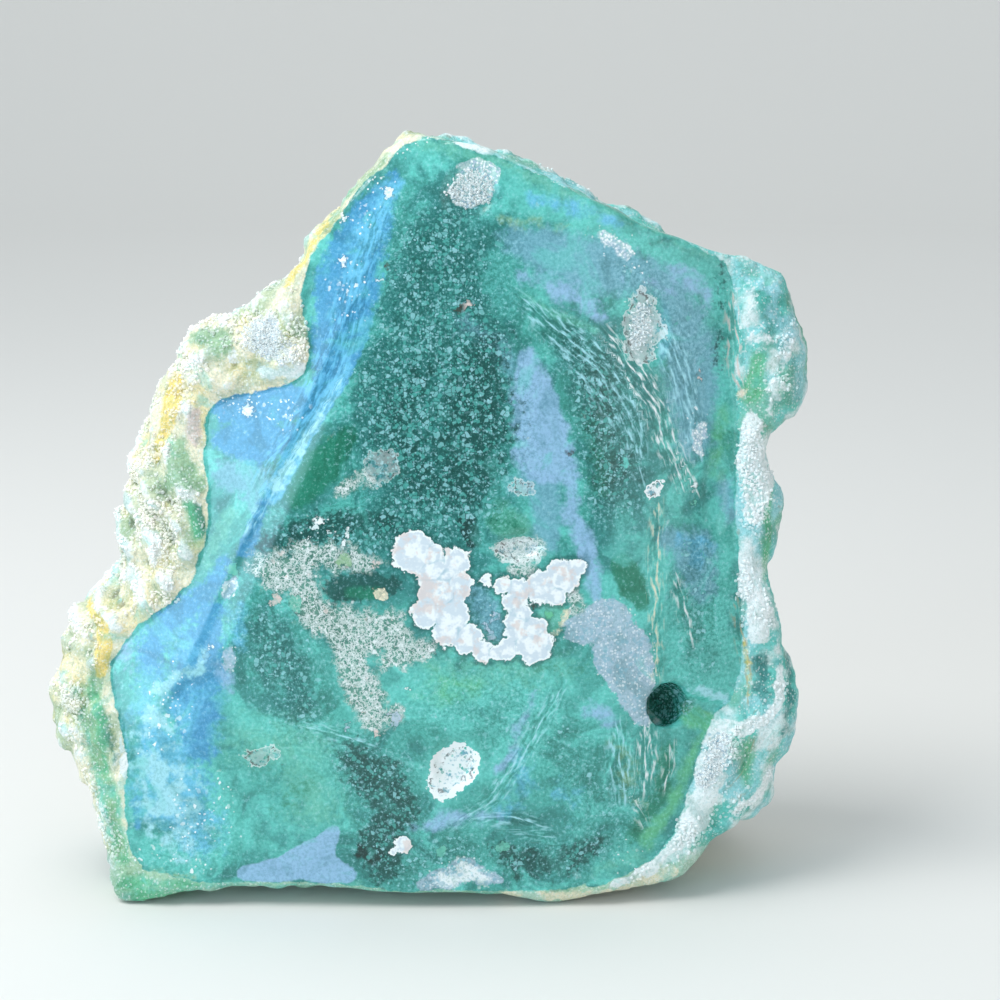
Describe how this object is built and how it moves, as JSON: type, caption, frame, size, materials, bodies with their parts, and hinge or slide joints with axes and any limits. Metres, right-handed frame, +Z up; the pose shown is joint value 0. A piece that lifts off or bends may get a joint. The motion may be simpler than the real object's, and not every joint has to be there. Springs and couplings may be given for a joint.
{
  "type": "chrysoprase specimen",
  "caption": "Free-standing chunk of green and blue chrysoprase, polished on its leaning front face, with a lumpy cream and white rind and a rough broken back.",
  "frame": {"origin": "under the middle of the stone's bounding box, on the surface that it stands on", "axes": "+Z up; -Y out of the polished front face; +X to the right as a viewer faces the polish"},
  "size_m": [0.0822, 0.0344, 0.0812],
  "materials": {
    "chalcedony": "opaque to faintly translucent: a high polish on the front face, a matt natural rind everywhere else"
  },
  "bodies": {
    "root": {"chrysoprase_stone": "chalcedony"}
  },
  "joints": []
}
